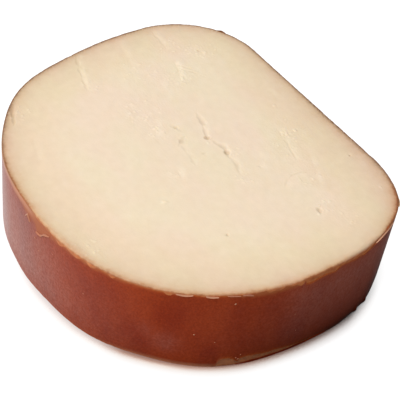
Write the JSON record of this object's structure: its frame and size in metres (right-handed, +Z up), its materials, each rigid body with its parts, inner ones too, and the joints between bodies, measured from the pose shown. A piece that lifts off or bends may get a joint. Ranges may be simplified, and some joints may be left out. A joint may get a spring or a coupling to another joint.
{
  "type": "smoked goat cheese",
  "caption": "Thick slab of smoked goat cheese cut from a D-section loaf, with a pale cracked cut face and a glossy brown coated side, lying on its other cut face.",
  "frame": {"origin": "under the middle of the slab's box, on the cut face that it rests on", "axes": "+X along the loaf's flat side, +Y out of the flat side and away from the dome, +Z up out of the shown cut face"},
  "size_m": [0.1588, 0.134, 0.038],
  "materials": {
    "paste": "satin cream cut face of a firm cheese, browner towards the rind",
    "rind_coat": "glossy red-brown coat on the smoked rind"
  },
  "bodies": {
    "root": {"cheese": "paste"}
  },
  "joints": []
}
